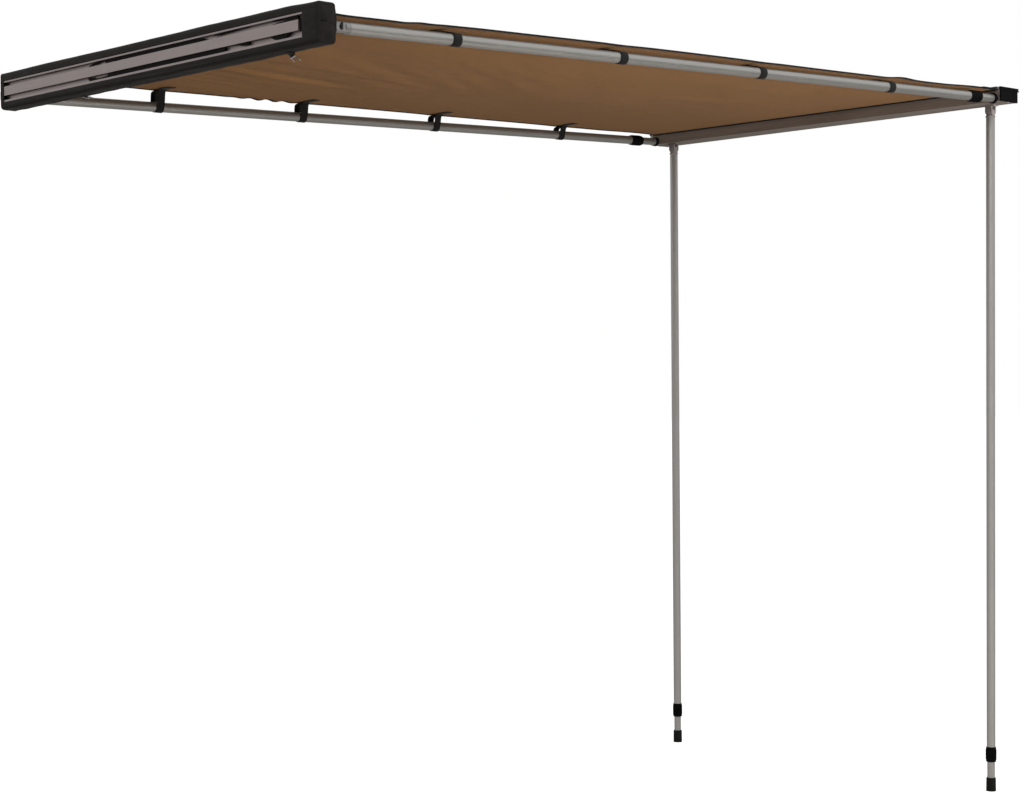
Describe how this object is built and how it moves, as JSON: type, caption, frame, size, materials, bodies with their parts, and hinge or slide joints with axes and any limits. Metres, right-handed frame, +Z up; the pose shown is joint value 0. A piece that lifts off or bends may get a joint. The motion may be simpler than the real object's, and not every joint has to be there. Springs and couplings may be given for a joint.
{
  "type": "vehicle side awning",
  "caption": "Roof-rack side awning, open: slim bagged case, cloth canopy on telescopic arms, front rail and folding telescopic legs with twist locks.",
  "frame": {"origin": "middle of the backing plate's flat rear face, where it bolts to the roof rack", "axes": "+X along the case, +Y away from the vehicle towards the front rail, +Z up"},
  "size_m": [1.242, 2.284, 1.8506],
  "materials": {
    "plate_aluminium": "satin anodised",
    "tube_aluminium": "bright drawn",
    "rail_paint": "grey-brown, satin",
    "steel": "bright zinc plated",
    "black_plastic": "moulded, fine grain",
    "grey_plastic": "moulded",
    "foot_rubber": "matt",
    "bag_fabric": "coated cloth, black",
    "canopy_fabric": "plain weave cloth, brown",
    "webbing": "woven, black"
  },
  "bodies": {
    "case": {"backing_plate": "plate_aluminium", "bag_top_panel": "bag_fabric", "bag_bottom_panel": "bag_fabric", "bag_end_near": "bag_fabric", "bag_end_far": "bag_fabric", "bag_zip": "black_plastic", "rear_edge_cord": "webbing", "arm_bracket_near": "plate_aluminium", "arm_bracket_far": "plate_aluminium", "bracket_bolt_near": "steel", "bracket_bolt_far": "steel", "arm_pin_near": "steel", "arm_pin_far": "steel", "stow_strap_near": "webbing", "stow_strap_far": "webbing", "stow_buckle_near": "steel", "stow_buckle_far": "steel", "canopy_rear_panel": "canopy_fabric"},
    "deck": {"arm_knuckle_near": "plate_aluminium", "arm_knuckle_far": "plate_aluminium", "arm_tube_near": "tube_aluminium", "arm_tube_far": "tube_aluminium", "arm_clamp_bush_near": "grey_plastic", "arm_clamp_bush_far": "grey_plastic", "canopy_main_panel": "canopy_fabric", "tie_strap_near_1": "webbing", "tie_strap_near_2": "webbing", "tie_strap_near_3": "webbing", "tie_strap_near_4": "webbing", "tie_strap_far_1": "webbing", "tie_strap_far_2": "webbing", "tie_strap_far_3": "webbing", "tie_strap_far_4": "webbing"},
    "rail": {"arm_inner_tube_near": "tube_aluminium", "arm_inner_tube_far": "tube_aluminium", "arm_end_plug_near": "black_plastic", "arm_end_plug_far": "black_plastic", "front_rail": "rail_paint", "rail_end_cap_near": "black_plastic", "rail_end_cap_far": "black_plastic", "front_edge_cord": "webbing", "canopy_front_panel": "canopy_fabric", "leg_bracket_near": "grey_plastic", "leg_bracket_far": "grey_plastic", "leg_pin_near": "steel", "leg_pin_far": "steel"},
    "leg_near": {"leg_knuckle_near": "grey_plastic", "leg_tube_near": "tube_aluminium", "leg_clamp_bush_near": "grey_plastic"},
    "lower_leg_near": {"leg_inner_tube_near": "tube_aluminium", "leg_foot_near": "foot_rubber"},
    "arm_collar_near": {"arm_twist_collar_near": "black_plastic"},
    "leg_collar_near": {"leg_twist_collar_near": "black_plastic"},
    "leg_far": {"leg_knuckle_far": "grey_plastic", "leg_tube_far": "tube_aluminium", "leg_clamp_bush_far": "grey_plastic"},
    "lower_leg_far": {"leg_inner_tube_far": "tube_aluminium", "leg_foot_far": "foot_rubber"},
    "arm_collar_far": {"arm_twist_collar_far": "black_plastic"},
    "leg_collar_far": {"leg_twist_collar_far": "black_plastic"}
  },
  "joints": [
    {"name": "deck_pitch", "type": "hinge", "parent": "case", "child": "deck", "pos_m": [0, 0.056, -0.004], "axis": [1, 0, 0], "range_deg": [0, 10], "deforming": ["canopy_rear_panel"]},
    {"name": "arm_telescope", "type": "slide", "parent": "deck", "child": "rail", "axis": [0, 0.9997, 0.026], "range_m": [-0.03, 0], "deforming": ["canopy_front_panel"]},
    {"name": "leg_fold_near", "type": "hinge", "parent": "rail", "child": "leg_near", "pos_m": [0.55, 2.262, 0.0274], "axis": [0, 1, 0], "range_deg": [0, 90]},
    {"name": "leg_telescope_near", "type": "slide", "parent": "leg_near", "child": "lower_leg_near", "axis": [0, 0, -1], "range_m": [-0.036, 0.4]},
    {"name": "arm_collar_twist_near", "type": "hinge", "parent": "deck", "child": "arm_collar_near", "pos_m": [0.598, 0.056, -0.004], "axis": [0, 0.9997, 0.026], "range_deg": [0, 90]},
    {"name": "leg_collar_twist_near", "type": "hinge", "parent": "leg_near", "child": "leg_collar_near", "pos_m": [0.55, 2.262, 0.0274], "axis": [0, 0, -1], "range_deg": [0, 90]},
    {"name": "leg_fold_far", "type": "hinge", "parent": "rail", "child": "leg_far", "pos_m": [-0.55, 2.232, 0.0274], "axis": [0, -1, 0], "range_deg": [0, 90]},
    {"name": "leg_telescope_far", "type": "slide", "parent": "leg_far", "child": "lower_leg_far", "axis": [0, 0, -1], "range_m": [-0.036, 0.4]},
    {"name": "arm_collar_twist_far", "type": "hinge", "parent": "deck", "child": "arm_collar_far", "pos_m": [-0.598, 0.056, -0.004], "axis": [0, 0.9997, 0.026], "range_deg": [0, 90]},
    {"name": "leg_collar_twist_far", "type": "hinge", "parent": "leg_far", "child": "leg_collar_far", "pos_m": [-0.55, 2.232, 0.0274], "axis": [0, 0, -1], "range_deg": [0, 90]}
  ]
}
